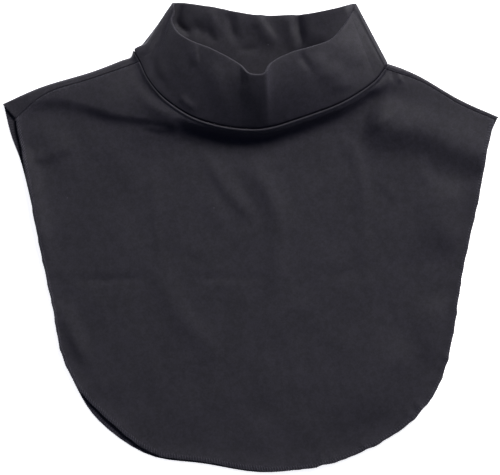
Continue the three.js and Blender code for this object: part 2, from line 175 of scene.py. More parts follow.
# Points of a centripetal spline through the given ones, at shares of the way counted in spans
def splineAt(points, share, closed=False):
    points = np.asarray(points, float)
    spans = len(points) if closed else len(points) - 1
    along = np.clip(np.asarray(share, float), 0, 1) * spans
    start = np.minimum(along.astype(int), spans - 1)
    step = (along - start)[..., None]
    if closed:
        padded = np.vstack([points[-1:], points, points[:2]])
    else:
        padded = np.vstack([2 * points[0] - points[1], points, 2 * points[-1] - points[-2]])
    before, first, last, after = (padded[start + index] for index in range(4))
    gaps = [
        np.sqrt(np.maximum(np.linalg.norm(b - a, axis=-1, keepdims=True), 1e-4))
        for a, b in ((before, first), (first, last), (last, after))
    ]
    leaving = (first - before) / gaps[0] - (last - before) / (gaps[0] + gaps[1]) + (last - first) / gaps[1]
    arriving = (last - first) / gaps[1] - (after - first) / (gaps[1] + gaps[2]) + (after - last) / gaps[2]
    leaving = leaving * gaps[1]
    arriving = arriving * gaps[1]
    bend = -3 * first + 3 * last - 2 * leaving - arriving
    twist = 2 * first - 2 * last + leaving + arriving
    return first + leaving * step + bend * step**2 + twist * step**3


# The same spline as a function of the share of its length
def evenCurve(points):
    dense = splineAt(points, np.linspace(0, 1, 801))
    reached = wayAlong(dense)

    def at(share):
        goal = np.asarray(share, float) * reached[-1]
        return np.stack([np.interp(goal, reached, dense[:, axis]) for axis in range(3)], axis=-1)

    return at, reached[-1]


# A point on cloth that is rolled round a fold. At turn 0 it is on top, towards the seam, and at 180 degrees
# it is underneath.
def rolledPoint(seam, fold, under, height, turn):
    inward = atHeight(under if turn > 90 else seam, 0) - atHeight(fold, 0)
    reach = np.linalg.norm(inward, axis=-1, keepdims=True)
    radius = np.minimum(np.asarray(height)[..., None] / 2, reach)
    angle = math.radians(turn)
    point = atHeight(fold, 0) + inward / reach * radius * (1 - math.sin(angle))
    return atHeight(point, np.asarray(height) / 2 * (1 + math.cos(angle)))


def collarLoops():
    lift = layout["collarLift"] - layout["foldHeight"]
    opening = layout["collarOpen"] - layout["foldHeight"]
    fronts = [
        atHeight(neckPoints(collarFront), layout["foldHeight"] + collarFront["rise"] * lift),
        atHeight(edgePoints(collarFront), layout["foldHeight"] + collarFront["open"] * opening),
    ]
    loops = []
    for front, placed in zip(fronts, (neckPoints, edgePoints)):
        back = placed(collarBack)
        right, left = placed(collarFolds)
        turns = (0, 45, 90, 135, 180)
        rightFold = [rolledPoint(front[-1], right, back[0], front[-1][2], turn) for turn in turns]
        leftFold = [rolledPoint(front[0], left, back[-1], front[0][2], turn) for turn in turns]
        loops.append(np.vstack([front, rightFold, back, leftFold[::-1]]))
    return loops


seamStations, edgeStations = collarLoops()
stationCount = len(seamStations)
lastFront = len(collarFront["across"]) - 1
firstBack = lastFront + 5
lastBack = firstBack + len(collarBack["across"]) + 1


def onLoop(loop, places):
    points = splineAt(loop, (np.asarray(places, float) % stationCount) / stationCount, closed=True)
    return atHeight(points, np.maximum(points[..., 2], 0))


def inPicture(x, y):
    pixel = picture["pixel"]
    return np.array([(x - picture["middleX"]) * pixel, (picture["middleY"] - y) * pixel])


# A soft fold has a crest through points of the picture, its height, how far it spreads on the left and on the
# right of the way along it, which shares of it fade at its ends, and how sharp its crest is: 2 is round, and
# 1 is a crease.
def softFold(path, rise, left, right, ends=(0.35, 0.35), sharp=2):
    return {"path": path, "rise": rise, "left": left, "right": right, "ends": ends, "sharp": sharp}


# Height that soft folds add
def foldHeights(points, folds):
    flat = points[..., :2]
    total = np.zeros(flat.shape[:-1])
    for fold in folds:
        crest = np.array([inPicture(x, y) for x, y in fold["path"]])
        line = splineAt(np.c_[crest, np.zeros(len(crest))], np.linspace(0, 1, 25))[:, :2]
        nearest = np.full(total.shape, 1e9)
        side = np.zeros(total.shape)
        along = np.zeros(total.shape)
        for index in range(len(line) - 1):
            step = line[index + 1] - line[index]
            away = flat - line[index]
            share = np.clip((away @ step) / (step @ step), 0, 1)
            gap = np.linalg.norm(away - share[..., None] * step, axis=-1)
            closer = gap < nearest
            nearest = np.where(closer, gap, nearest)
            side = np.where(closer, step[0] * away[..., 1] - step[1] * away[..., 0], side)
            along = np.where(closer, (index + share) / (len(line) - 1), along)
        spread = np.where(side > 0, fold["left"], fold["right"])
        ends = fold["ends"]
        taper = smoothstep(along, 0, ends[0]) * (1 - smoothstep(along, 1 - ends[1], 1))
        profile = np.exp(-((nearest / spread) ** fold["sharp"]))
        total = total + fold["rise"] * taper * profile
    return total


# Smooth unevenness of about one unit, made of waves in all directions
def unevenness(points, seed, longest, shortest, count=26):
    generator = random.Random(seed)
    total = np.zeros(points.shape[:-1])
    for _ in range(count):
        length = math.exp(generator.uniform(math.log(shortest), math.log(longest)))
        angle = generator.uniform(0, 2 * math.pi)
        phase = generator.uniform(0, 2 * math.pi)
        wave = points[..., 0] * math.cos(angle) + points[..., 1] * math.sin(angle)
        total = total + np.sin(2 * math.pi * wave / length + phase) * (length / longest)
    return total / math.sqrt(count / 2)


# Extra lines beside each open edge of a grid, which round it. Each has its distance from the edge in half
# thicknesses and its share of the full thickness. In a narrow grid they keep to shares of the first gap.
rimLines = [(0.0, 0.1), (0.06, 0.34), (0.22, 0.63), (0.55, 0.89), (1.0, 1.0)]
narrowRim = {"least": 0.3, "growth": 0.6}


def withRims(grid, radius, axis):
    lines = np.moveaxis(grid, axis, 0)
    ends = []
    for edge, neighbour in ((lines[0], lines[1]), (lines[-1], lines[-2])):
        gap = np.linalg.norm(neighbour - edge, axis=-1, keepdims=True)
        ends.append([
            edge + (neighbour - edge) * np.minimum(
                distance * radius / gap, narrowRim["least"] + narrowRim["growth"] * distance)
            for distance, _ in rimLines
        ])
    full = np.concatenate([ends[0], lines[1:-1], ends[1][::-1]])
    shares = np.ones(len(full))
    shares[:len(rimLines)] = [share for _, share in rimLines]
    shares[-len(rimLines):] = [share for _, share in rimLines[::-1]]
    return np.moveaxis(full, 0, axis), shares


# Unit vectors square to a grid of points
def gridNormals(grid, closed, flip):
    if closed:
        ahead = np.roll(grid, -1, axis=0) - grid
        across = unit(ahead) + unit(np.roll(ahead, 1, axis=0))
    else:
        steps = unit(np.diff(grid, axis=0))
        across = np.concatenate([steps[:1], steps[1:] + steps[:-1], steps[-1:]])
    steps = unit(np.diff(grid, axis=1))
    along = np.concatenate([steps[:, :1], steps[:, 1:] + steps[:, :-1], steps[:, -1:]], axis=1)
    normals = unit(np.cross(across, along))
    return -normals if flip else normals


def gridFaces(columns, rows, start, wrapColumns, wrapRows, flip):
    column = np.arange(columns if wrapColumns else columns - 1)
    row = np.arange(rows if wrapRows else rows - 1)
    column, row = (side.ravel() for side in np.meshgrid(column, row, indexing="ij"))
    nextColumn = (column + 1) % columns
    nextRow = (row + 1) % rows
    corners = [
        column * rows + row, nextColumn * rows + row, nextColumn * rows + nextRow, column * rows + nextRow,
    ]
    faces = np.stack(corners[::-1] if flip else corners, axis=1)
    return faces + start


def makePiece(name, points, faces, cloth, material, traits=None):
    mesh = bpy.data.meshes.new(name)
    mesh.from_pydata((points * millimetre).tolist(), [], faces.tolist())
    mesh.polygons.foreach_set("use_smooth", [True] * len(mesh.polygons))
    corners = np.empty(len(mesh.loops), int)
    mesh.loops.foreach_get("vertex_index", corners)
    layer = mesh.uv_layers.new(name="Cloth")
    layer.data.foreach_set("uv", (cloth * millimetre)[corners].ravel())
    for trait, values in (traits or {}).items():
        attribute = mesh.attributes.new(trait, "FLOAT", "POINT")
        attribute.data.foreach_set("value", np.asarray(values, np.float32))
    mesh.materials.append(material)
    mesh.validate()
    piece = bpy.data.objects.new(name, mesh)
    bpy.context.scene.collection.objects.link(piece)
    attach(piece, "root")
    return piece


# A closed ply with rounded edges between an outer face and the face one thickness behind it
def makePly(name, grid, thickness, flip, cloth, material, traits):
    packed = np.concatenate([grid, cloth] + [trait[..., None] for trait in traits.values()], axis=-1)
    packed, rowRims = withRims(packed, thickness / 2, 1)
    packed, columnRims = withRims(packed, thickness / 2, 0)
    columns, rows = packed.shape[:2]
    outer = packed[..., :3]
    normals = gridNormals(outer, False, flip)
    swell = np.minimum(columnRims[:, None], rowRims[None, :])[..., None] * thickness / 2
    middle = outer - normals * thickness / 2
    points = np.stack([middle + normals * swell, middle - normals * swell]).reshape(-1, 3)
    points[:, 2] = np.maximum(points[:, 2], 0)
    size = columns * rows
    faces = [
        gridFaces(columns, rows, 0, False, False, flip),
        gridFaces(columns, rows, size, False, False, not flip),
    ]
    index = np.arange(size).reshape(columns, rows)
    ring = np.concatenate([index[:-1, 0], index[-1, :-1], index[:0:-1, -1], index[0, :0:-1]])
    following = np.roll(ring, -1)
    band = [ring, ring + size, following + size, following]
    faces.append(np.stack(band[::-1] if flip else band, axis=1))
    flat = np.tile(packed[..., 3:5].reshape(-1, 2), (2, 1))
    spread = {trait: np.tile(packed[..., 5 + place].ravel(), 2) for place, trait in enumerate(traits)}
    return makePiece(name, points, np.concatenate(faces), flat, material, spread)


# Shader nodes
class Value:
    def __init__(self, shader, socket):
        self.shader = shader
        self.socket = socket

    def math(self, operation, *operands):
        return self.shader.node("ShaderNodeMath", {"operation": operation}, dict(enumerate(operands)))

    def __add__(self, other):
        return self.math("ADD", self, other)

    __radd__ = __add__

    def __sub__(self, other):
        return self.math("SUBTRACT", self, other)

    def __rsub__(self, other):
        return self.math("SUBTRACT", other, self)

    def __mul__(self, other):
        return self.math("MULTIPLY", self, other)

    __rmul__ = __mul__

    def __truediv__(self, other):
        return self.math("DIVIDE", self, other)

    def __rtruediv__(self, other):
        return self.math("DIVIDE", other, self)

    def sine(self):
        return self.math("SINE", self)

    def absolute(self):
        return self.math("ABSOLUTE", self)

    def fraction(self):
        return self.math("FRACT", self)

    def above(self, limit):
        return self.math("GREATER_THAN", self, limit)

    def ramp(self, low, high):
        settings = {"interpolation_type": "SMOOTHSTEP"}
        sockets = {"Value": self, "From Min": low, "From Max": high}
        return self.shader.node("ShaderNodeMapRange", settings, sockets)


class Shader:
    def __init__(self, name):
        self.material = bpy.data.materials.new(name)
        self.material.use_nodes = True
        self.tree = self.material.node_tree
        self.surface = self.tree.nodes["Principled BSDF"]

    def feed(self, socket, value):
        if isinstance(value, Value):
            self.tree.links.new(value.socket, socket)
        else:
            socket.default_value = value

    def node(self, kind, settings, sockets, output=0):
        node = self.tree.nodes.new(kind)
        for name, value in settings.items():
            setattr(node, name, value)
        for socket, value in sockets.items():
            self.feed(node.inputs[socket], value)
        return Value(self, node.outputs[output])

    # Sockets 0, 6 and 7 and output 2 are the ones that a mix of colours uses
    def mix(self, factor, first, second):
        return self.node("ShaderNodeMix", {"data_type": "RGBA"}, {0: factor, 6: first, 7: second}, 2)

    def noise(self, place, scale, detail=2.0, roughness=0.5):
        sockets = {"Vector": place, "Scale": scale, "Detail": detail, "Roughness": roughness}
        return self.node("ShaderNodeTexNoise", {}, sockets)

    def bump(self, height, distance, strength, normal=None):
        sockets = {"Height": height, "Distance": distance, "Strength": strength}
        if normal:
            sockets["Normal"] = normal
        return self.node("ShaderNodeBump", {}, sockets)

    def finish(self, linked, fixed):
        for name, value in {**linked, **fixed}.items():
            self.feed(self.surface.inputs[name], value)
        return self.material


jersey = {
    "dark": (0.0050, 0.0045, 0.0070, 1),
    "light": (0.0156, 0.0142, 0.0208, 1),
    # Paler colour of the painted highlight along hems, shoulder seams and the collar's fold edge
    "rimHighlight": (0.04, 0.038, 0.048, 1),
    "lint": (0.13, 0.127, 0.145, 1),
    # The collar band's copy of the jersey is darker by this share: painted shade
    "bandPaintedShade": 0.94,
    "waleWidth": 0.00075,
    "courseHeight": 0.0006,
    "stitchSlant": 0.6,
    "wobble": 0.0005,
    "wobbleScale": 60.0,
    "knitDepth": 0.00012,
    "knitStrength": 0.7,
    "fuzzDepth": 0.0001,
    "fuzzStrength": 0.5,
    "fuzzScale": 1400.0,
    "cloudScale": 22.0,
    "cloudShare": 0.25,
    "mottleScale": 210.0,
    "mottleShare": 0.35,
    "grainScale": 620.0,
    "grainShare": 0.4,
    "lintScale": 46.0,
    "lintSize": 0.024,
    "lintChance": 0.45,
    "lintStrength": 0.6,
    "roughness": 0.5,
    "roughnessSpread": 0.12,
    "specular": 0.3,
    "sheen": 0.1,
    "sheenTint": (0.76, 0.74, 1.0, 1),
    "sheenRoughness": 0.42,
}


# Fine jersey: columns of small V-shaped stitches, fuzz, slight unevenness of the black, a little lint,
# painted shade through shade and a painted highlight along rims
def makeJersey(name, shade=1.0):
    shader = Shader(name)
    cloth = shader.node("ShaderNodeUVMap", {"uv_map": "Cloth"}, {})
    place = shader.node("ShaderNodeTexCoord", {}, {}, "Object")
    across = shader.node("ShaderNodeSeparateXYZ", {}, {0: cloth}, "X")
    up = shader.node("ShaderNodeSeparateXYZ", {}, {0: cloth}, "Y")
    wobble = shader.noise(place, jersey["wobbleScale"], 2.0) * jersey["wobble"]
    inWale = ((across + wobble) / jersey["waleWidth"]).fraction()
    leg = (inWale - 0.5).absolute() * 2
    course = (up + wobble) / jersey["courseHeight"] + leg * jersey["stitchSlant"]
    loops = ((course * 2 * math.pi).sine() * 0.5 + 0.5) * ((leg * math.pi).sine() * 0.7 + 0.3)
    fuzz = shader.noise(place, jersey["fuzzScale"], 3.0, 0.7)
    cloud = shader.noise(place, jersey["cloudScale"], 4.0, 0.6)
    grain = shader.noise(place, jersey["grainScale"], 3.0, 0.7)
    mottle = shader.noise(place, jersey["mottleScale"], 2.0, 0.6)
    tone = cloud.ramp(0.3, 0.7) * jersey["cloudShare"] + mottle.ramp(0.36, 0.64) * jersey["mottleShare"]
    tone = tone + grain.ramp(0.38, 0.62) * jersey["grainShare"]
    # A shade below 1 darkens the black: painted shade
    dark = tuple(part * shade for part in jersey["dark"][:3]) + (1,)
    light = tuple(part * shade for part in jersey["light"][:3]) + (1,)
    base = shader.mix(tone, dark, light)
    # The rim trait marks where a paler colour is painted over the black: a painted highlight along hems,
    # shoulder seams and the collar's fold edge, speckled by the grain
    rim = shader.node("ShaderNodeAttribute", {"attribute_name": "rim"}, {}, "Fac")
    rimHighlight = rim * (grain.ramp(0.45, 0.68) * 0.8 + 0.1)
    base = shader.mix(rimHighlight, base, jersey["rimHighlight"])
    specks = {"Vector": place, "Scale": jersey["lintScale"]}
    distance = shader.node("ShaderNodeTexVoronoi", {}, specks, "Distance")
    chance = shader.node("ShaderNodeTexVoronoi", {}, specks, "Color")
    chance = shader.node("ShaderNodeSeparateColor", {}, {0: chance}, "Red")
    chosen = chance.above(1 - jersey["lintChance"])
    lint = (1 - distance.ramp(jersey["lintSize"] / 2, jersey["lintSize"])) * chosen * jersey["lintStrength"]
    base = shader.mix(lint, base, jersey["lint"])
    knit = shader.bump(loops, jersey["knitDepth"], jersey["knitStrength"])
    normal = shader.bump(fuzz, jersey["fuzzDepth"], jersey["fuzzStrength"], knit)
    roughness = jersey["roughness"] + cloud * jersey["roughnessSpread"]
    return shader.finish(
        {"Base Color": base, "Roughness": roughness, "Normal": normal},
        {
            "Specular IOR Level": jersey["specular"],
            "Sheen Weight": jersey["sheen"],
            "Sheen Roughness": jersey["sheenRoughness"],
            "Sheen Tint": jersey["sheenTint"],
        },
    )


thread = {
    "dark": (0.022, 0.021, 0.026, 1),
    "light": (0.05, 0.048, 0.056, 1),
    "twistScale": 2600.0,
    "twistDepth": 0.00008,
    "roughness": 0.5,
    "specular": 0.4,
    "sheen": 0.2,
}


def makeThread():
    shader = Shader("thread")
    place = shader.node("ShaderNodeTexCoord", {}, {}, "Object")
    twist = shader.noise(place, thread["twistScale"], 2.0)
    base = shader.mix(twist.ramp(0.35, 0.7), thread["dark"], thread["light"])
    normal = shader.bump(twist, thread["twistDepth"], 0.6)
    return shader.finish(
        {"Base Color": base, "Roughness": thread["roughness"] + twist * 0.2, "Normal": normal},
        {
            "Specular IOR Level": thread["specular"],
            "Sheen Weight": thread["sheen"],
            "Sheen Tint": jersey["sheenTint"],
        },
    )


bibJersey = makeJersey("bibJersey")
# The collar band uses a darker copy of the same jersey: painted shade
bandJersey = makeJersey("bandJersey", jersey["bandPaintedShade"])
threadBlack = makeThread()
print("materials made")

# Distances of the bibs' first rows from the neckline, the largest share of the way that they may take, and
# how much the gaps between the other rows grow
bibRows = {
    "near": [
        0, 0.35, 0.7, 1.05, 1.4, 1.8, 2.2, 2.7, 3.2, 3.8, 4.4, 5.0, 5.7, 6.5, 7.4, 8.4, 9.6, 11, 12.6,
        14.4, 16.5,
    ],
    "nearShare": 0.45,
    "growth": 0.25,
}

# Keeps the places on a bib's flat cloth above zero
clothMargin = 300.0


# Shares of the way from the neckline to the outer edge
def rowShares(length, farRows):
    length = np.asarray(length, float)[..., None]
    near = np.array(bibRows["near"])
    near = near * np.minimum(1, bibRows["nearShare"] * length / near[-1]) / length
    start = near[..., -1:]
    steps = np.linspace(0, 1, farRows + 1)[1:]
    eased = bibRows["growth"] * steps**2 + (1 - bibRows["growth"]) * steps
    return np.concatenate([near, start + eased * (1 - start)], axis=-1)


frontBib = {
    "thickness": 1.0,
    "ridgeRise": 1.1,
    "ridgeWidth": 1.35,
    "leastRidge": 0.12,
    "ditchDepth": 0.06,
    "ditchWidth": 0.7,
    "fall": 9.0,
    "shoulderFall": 30.0,
    "fallStart": 0.08,
    "fallReach": (0.22, 0.14),
    "firmness": 1.6,
    "softShare": 0.4,
    "softFall": 7.0,
    "farFall": 45.0,
    "foldStart": (1.5, 14.0),
    "softLeft": (0.06, 0.24),
    "softRight": (0.01, 0.12),
    "ridgeStart": (0.05, 0.28),
    "deepest": 0.45,
    "unevenness": 0.22,
    "edgeCurl": 0.45,
    "curlStart": (5, 40),
    "curlReach": 8.0,
    "hemMiddle": -20.0,
    "ripples": ((61, 0.5), (87, 0.35), (143, 0.2), (37, 0.4)),
    "rippleReach": 9.0,
    "rippleSide": 0.7,
    "rippleLift": 0.9,
    # Widths and share of the painted highlight along the hem and beside the shoulder seams
    "edgeHighlight": 3.4,
    "shoulderHighlight": 3.0,
    "shoulderHighlightShare": 0.8,
    "columnWidth": 1.2,
    "gapColumns": 3,
    "gapTurn": 8,
    "stepsPerStation": 20,
    "farRows": 100,
}

frontFolds = [
    softFold([(14, 116), (30, 102), (54, 97), (82, 102), (106, 109), (134, 116)], 2.4, 60, 7.5, (0.25, 0.4)),
    softFold([(78, 102), (106, 112), (131, 116), (156, 120), (184, 128)], 2.5, 34, 4.8, (0.3, 0.1)),
    softFold([(143, 126), (156, 129), (172, 131)], 0.8, 3, 2.2),
    softFold([(32, 161), (48, 158), (64, 151), (84, 143)], 1.0, 10, 2.5, (0.2, 0.4)),
    softFold([(26, 132), (52, 136), (84, 139)], 0.5, 9, 12, (0.4, 0.4)),
    softFold([(362, 121), (383, 125), (408, 129), (436, 137)], 5.2, 21, 17, (0.35, 0.45)),
    softFold([(398, 122), (432, 134), (460, 147), (492, 162)], 3.5, 20, 15, (0.4, 0.1)),
    softFold([(386, 86), (380, 100), (377, 117), (384, 132)], 1.5, 18, 17, (0.45, 0.25)),
    softFold([(347, 136), (357, 158), (363, 190), (365, 240), (368, 290), (374, 350)],
             0.55, 5, 8, (0.12, 0.7)),
    softFold([(198, 150), (214, 171), (228, 191), (244, 210), (262, 230)], 0.95, 9, 5.5),
    softFold([(244, 156), (264, 186), (275, 210), (278, 238), (276, 280), (283, 320), (292, 352)],
             1.4, 9, 10, (0.15, 0.75)),
    softFold([(150, 132), (152, 180), (157, 235), (163, 282)], 0.3, 5, 4),
    softFold([(156, 246), (163, 284), (176, 310), (204, 342), (226, 376)], 0.8, 10, 9),
    softFold([(205, 190), (216, 212), (226, 240)], 0.4, 6, 8),
    softFold([(22, 150), (31, 190), (41, 236), (51, 282)], 2.1, 10, 4, (0.1, 0.4)),
    softFold([(58, 296), (72, 335), (92, 372)], 1.2, 9, 6),
    softFold([(449, 172), (446, 215), (440, 262)], 2.1, 12, 22),
    softFold([(440, 290), (434, 330), (424, 372)], 1.4, 9, 18),
    softFold([(398, 330), (382, 380), (344, 424)], 1.6, 24, 20),
    softFold([(412, 168), (428, 180), (440, 196)], 0.45, 6, 4),
    softFold([(378, 178), (390, 192), (396, 204)], 0.35, 5, 4),
    softFold([(387, 62), (388, 74), (390, 86)], 1.0, 1.7, 4.5),
    softFold([(394, 64), (398, 74), (403, 86)], 1.1, 1.7, 4),
    softFold([(64, 279), (110, 280), (158, 277)], -0.5, 3, 4.5, sharp=1.4),
    softFold([(182, 277), (230, 278), (284, 277)], -0.34, 3, 4, sharp=1.4),
    softFold([(316, 277), (352, 271), (384, 259)], -0.4, 3, 4, sharp=1.4),
    softFold([(384, 268), (420, 264), (456, 263)], -0.25, 3, 4, sharp=1.4),
    softFold([(160, 300), (161, 370), (163, 440)], -0.14, 4, 3, sharp=1.4),
    softFold([(277, 352), (278, 400), (280, 450)], 0.14, 3, 4, sharp=1.4),
    softFold([(166, 248), (190, 258), (216, 269)], -0.2, 4, 4),
]


def shoulderOf(side):
    station = 0 if side == "left" else lastFront
    nextRow = -1 if side == "left" else 0
    seamStart = seamStations[station]
    foldStart = neckPoints(collarFolds)[1 if side == "left" else 0]
    beside = onLoop(seamStations, station + (0.2 if side == "left" else -0.2))
    rows = shoulderRows[side]
    seam, length = evenCurve(np.vstack([atHeight(seamStart, 0), planPoints(rows["seam"])]))
    fold, _ = evenCurve(np.vstack([foldStart, planPoints(rows["fold"])]))
    return {
        "seam": seam,
        "fold": fold,
        "length": length,
        "height": seamStart[2],
        "under": neckPoints(collarBack)[nextRow],
        "alongNeck": unit(atHeight(beside - seamStart, 0)),
    }


shoulders = {side: shoulderOf(side) for side in ("left", "right")}


# The front's height: it falls from the seam firmly or softly, and carries the ridge of the seam and the folds
def frontHeight(points, seamHeight, distance, fall, soft, ridgeShare):
    width = frontBib["ridgeWidth"]
    beyond = np.maximum(0, distance - width) / fall
    firmDrop = 1 / (1 + (frontBib["firmness"] * beyond) ** 3)
    softDrop = frontBib["softShare"] * np.exp(-distance / frontBib["softFall"])
    softDrop = softDrop + (1 - frontBib["softShare"]) / (1 + (distance / frontBib["farFall"]) ** 2)
    mound = (seamHeight - layout["restHeight"]) * (firmDrop * (1 - soft) + softDrop * soft)
    ridge = smoothstep(distance, 0, 0.6 * width) - smoothstep(distance, width, 2.4 * width)
    ditch = bell(distance / frontBib["ditchWidth"])
    rough = unevenness(points, seed=11, longest=70, shortest=9, count=40) * frontBib["unevenness"]
    relief = (foldHeights(points, frontFolds) + rough) * smoothstep(distance, *frontBib["foldStart"])
    lift = (frontBib["ridgeRise"] * ridge - frontBib["ditchDepth"] * ditch) * ridgeShare
    return layout["restHeight"] + mound + lift + np.maximum(relief, -frontBib["deepest"])


# How far a curve bows out from the straight way between its ends
def bowOf(curve, share):
    ends = curve(np.array([0.0, 1.0]))
    return curve(share) - (ends[0] + (ends[1] - ends[0]) * np.asarray(share)[..., None])


# The straight way from the neckline to the outline, bent near the shoulders as their curves are
def wayPoints(start, end, shares, curves, reach):
    column = np.arange(len(start))[:, None, None]
    points = atHeight(start, 0)[:, None] + (end - atHeight(start, 0))[:, None] * shares[..., None]
    points = points + bowOf(curves["left"], shares) * bell(column / reach)
    return points + bowOf(curves["right"], shares) * bell((len(start) - 1 - column) / reach)


# Slight waves all along the hem, larger on its lower right
def hemRipple(points, distance):
    generator = random.Random(5)
    lower = smoothstep(-points[..., 1], 20, 110) * smoothstep(points[..., 0], -60, 60)
    angle = np.arctan2(points[..., 1] - frontBib["hemMiddle"], points[..., 0])
    waves = sum(
        np.sin(angle * rate + generator.uniform(0, 6.28)) * size for rate, size in frontBib["ripples"]
    )
    return waves * (0.5 + 0.25 * lower) * bell(distance / frontBib["rippleReach"])


def makeFrontBib():
    places = np.linspace(0, lastFront, lastFront * frontBib["stepsPerStation"] + 1)
    start = onLoop(seamStations, places)
    count = len(places)
    curves = {side: shoulders[side]["seam"] for side in shoulders}
    outline = np.vstack([curves["left"](1.0), planPoints(frontOutline), curves["right"](1.0)])
    end = splineAt(outline, np.linspace(0, 1, count))
    length = np.linalg.norm((end - start)[:, :2], axis=1)
    length[0] = shoulders["left"]["length"]
    length[-1] = shoulders["right"]["length"]
    shares = rowShares(length, frontBib["farRows"])
    reach = 3 * frontBib["stepsPerStation"] / 4
    points = wayPoints(start, end, shares, curves, reach)
    column = np.arange(count)[:, None]
    for side, steps in (("left", column), ("right", count - 1 - column)):
        shoulder = shoulders[side]
        inward = unit(shoulder["seam"](shares) - shoulder["fold"](shares))
        away = smoothstep(shares * shoulder["length"], 0, frontBib["gapTurn"])[..., None]
        inward = unit(shoulder["alongNeck"] * (1 - away) + inward * away)
        gap = layout["seamGap"] * bell(steps / frontBib["gapColumns"])
        points = points + inward * gap[..., None]
    leftReach, rightReach = frontBib["fallReach"]
    edge = (column / count - frontBib["fallStart"]) / leftReach
    edge = np.minimum(edge, (count - 1 - column) / (rightReach * count))
    fall = frontBib["shoulderFall"] + (frontBib["fall"] - frontBib["shoulderFall"]) * smoothstep(edge, 0, 1)
    firm = smoothstep(column / count, *frontBib["softLeft"])
    firm = firm * smoothstep(1 - (column + 1) / count, *frontBib["softRight"])
    leastRidge = frontBib["leastRidge"]
    ridgeShare = leastRidge + (1 - leastRidge) * smoothstep(column / count, *frontBib["ridgeStart"])
    distance = shares * length[:, None]
    rim = (1 - shares) * length[:, None]
    seamHeight = start[:, 2][:, None]
    height = frontHeight(points, seamHeight, distance, fall, 1 - firm, ridgeShare)
    ripple = hemRipple(points, rim)
    outward = unit(points - np.array([0, frontBib["hemMiddle"], 0]))
    outward = outward * (ripple * frontBib["rippleSide"])[..., None]
    curl = frontBib["edgeCurl"] * np.exp(-((rim / frontBib["curlReach"]) ** 1.5))
    curl = curl * smoothstep(distance, *frontBib["curlStart"])
    height = height + np.abs(ripple) * frontBib["rippleLift"] + curl
    points = atHeight(points + atHeight(outward, 0), height)
    # A painted highlight: a paler colour along the hem and beside the shoulder seams
    shoulderRim = np.minimum(column, count - 1 - column) * frontBib["columnWidth"]
    shoulderHighlight = bell(shoulderRim / frontBib["shoulderHighlight"]) * frontBib["shoulderHighlightShare"]
    rimHighlight = np.maximum(bell(rim / frontBib["edgeHighlight"]), shoulderHighlight)
    cloth = points[..., :2] + clothMargin
    piece = makePly(
        "frontBib", points, frontBib["thickness"], True, cloth, bibJersey, {"rim": rimHighlight})
    return piece, points


frontPiece, frontGrid = makeFrontBib()
print("front bib made", len(frontPiece.data.polygons), "faces")

backBib = {
    "thickness": 1.0,
    "stepsPerStation": 12,
    "farRows": 70,
    "turnStep": 12,
    "stripSteps": 3,
    # Share and reach in columns of the painted highlight beside the back's rolled seams
    "seamHighlight": 0.5,
    "highlightColumns": 3,
}


def makeBackBib():
    sides = {}
    lengths = np.array([shoulders["left"]["length"], shoulders["right"]["length"]])
    for side, length in zip(("left", "right"), lengths):
        shoulder = shoulders[side]
        shares = rowShares(length, backBib["farRows"])
        seam = shoulder["seam"](shares)
        fold = shoulder["fold"](shares)
        ridgeShare = frontBib["leastRidge"] if side == "left" else 1
        distance = shares * length
        height = frontHeight(seam, shoulder["height"], distance, frontBib["shoulderFall"], 1, ridgeShare)
        away = smoothstep(distance, 0, layout["cornerReach"])[..., None]
        under = shoulder["under"] * (1 - away) + seam * away
        turns = np.arange(0, 181, backBib["turnStep"])
        roll = np.array([rolledPoint(seam, fold, under, height, turn) for turn in turns])
        top = atHeight(seam, height)
        stripSteps = backBib["stripSteps"]
        strip = [top + (roll[0] - top) * step / stripSteps for step in range(stripSteps)]
        sides[side] = np.concatenate([np.array(strip), roll])
    steps = (lastBack - firstBack) * backBib["stepsPerStation"]
    places = np.linspace(lastBack, firstBack, steps + 1)[1:-1]
    start = onLoop(seamStations, places)
    leftEnd = sides["left"][-1]
    rightEnd = sides["right"][-1]
    outline = np.vstack([leftEnd[-1:], planPoints(backOutline), rightEnd[-1:]])
    end = splineAt(outline, np.arange(1, len(places) + 1) / (len(places) + 1))
    length = np.linalg.norm((end - start)[:, :2], axis=1)
    shares = rowShares(length, backBib["farRows"])
    curves = {side: shoulders[side]["fold"] for side in shoulders}
    padded = {
        "start": np.vstack([start[:1], start, start[-1:]]),
        "end": np.vstack([end[:1], end, end[-1:]]),
        "shares": np.concatenate([shares[:1], shares, shares[-1:]]),
    }
    reach = backBib["stepsPerStation"] / 3
    flat = wayPoints(padded["start"], padded["end"], padded["shares"], curves, reach)[1:-1]
    grid = np.concatenate([sides["left"], flat, sides["right"][::-1]])
    reached = wayAlong(grid)
    middle = reached[len(reached) // 2]
    cloth = np.stack([reached - middle, grid[..., 1]], axis=-1) + clothMargin
    # A painted highlight: a paler colour along the hem and beside the rolled seams
    outer = np.minimum(np.arange(len(grid)), np.arange(len(grid))[::-1])[:, None]
    rim = np.linalg.norm(grid - grid[:, -1:], axis=-1)
    seamHighlight = bell(outer / backBib["highlightColumns"]) * backBib["seamHighlight"]
    rimHighlight = np.maximum(bell(rim / frontBib["edgeHighlight"]), seamHighlight)
    piece = makePly("backBib", grid, backBib["thickness"], False, cloth, bibJersey, {"rim": rimHighlight})
    return piece, grid


backPiece, backGrid = makeBackBib()
print("back bib made", len(backPiece.data.polygons), "faces")

collarBand = {
    "thickness": 2.2,
    "ply": 0.95,
    "plyHeight": 54.0,
    "roundSteps": 8,
    "swell": 3.5,
    "tuckDepth": 7.0,
    "backWrinkle": 0.9,
    "seamTuck": 0.2,
    "tuckReach": 1.5,
    "cornerGap": 1.3,
    "cornerPlace": 2,
    "cornerReach": 1.6,
    "pleatFoot": 0.06,
    "rows": 26,
    "rowGrowth": 0.4,
    "unevenness": 0.22,
    "frontSteps": 20,
    "turnSteps": 5,
    "softening": 90,
    "backSteps": 14,
    "clothMargin": 10.0,
    # Strength of the painted highlight along the band's fold edge
    "edgeHighlight": 0.5,
    "floorGap": 0.05,
}

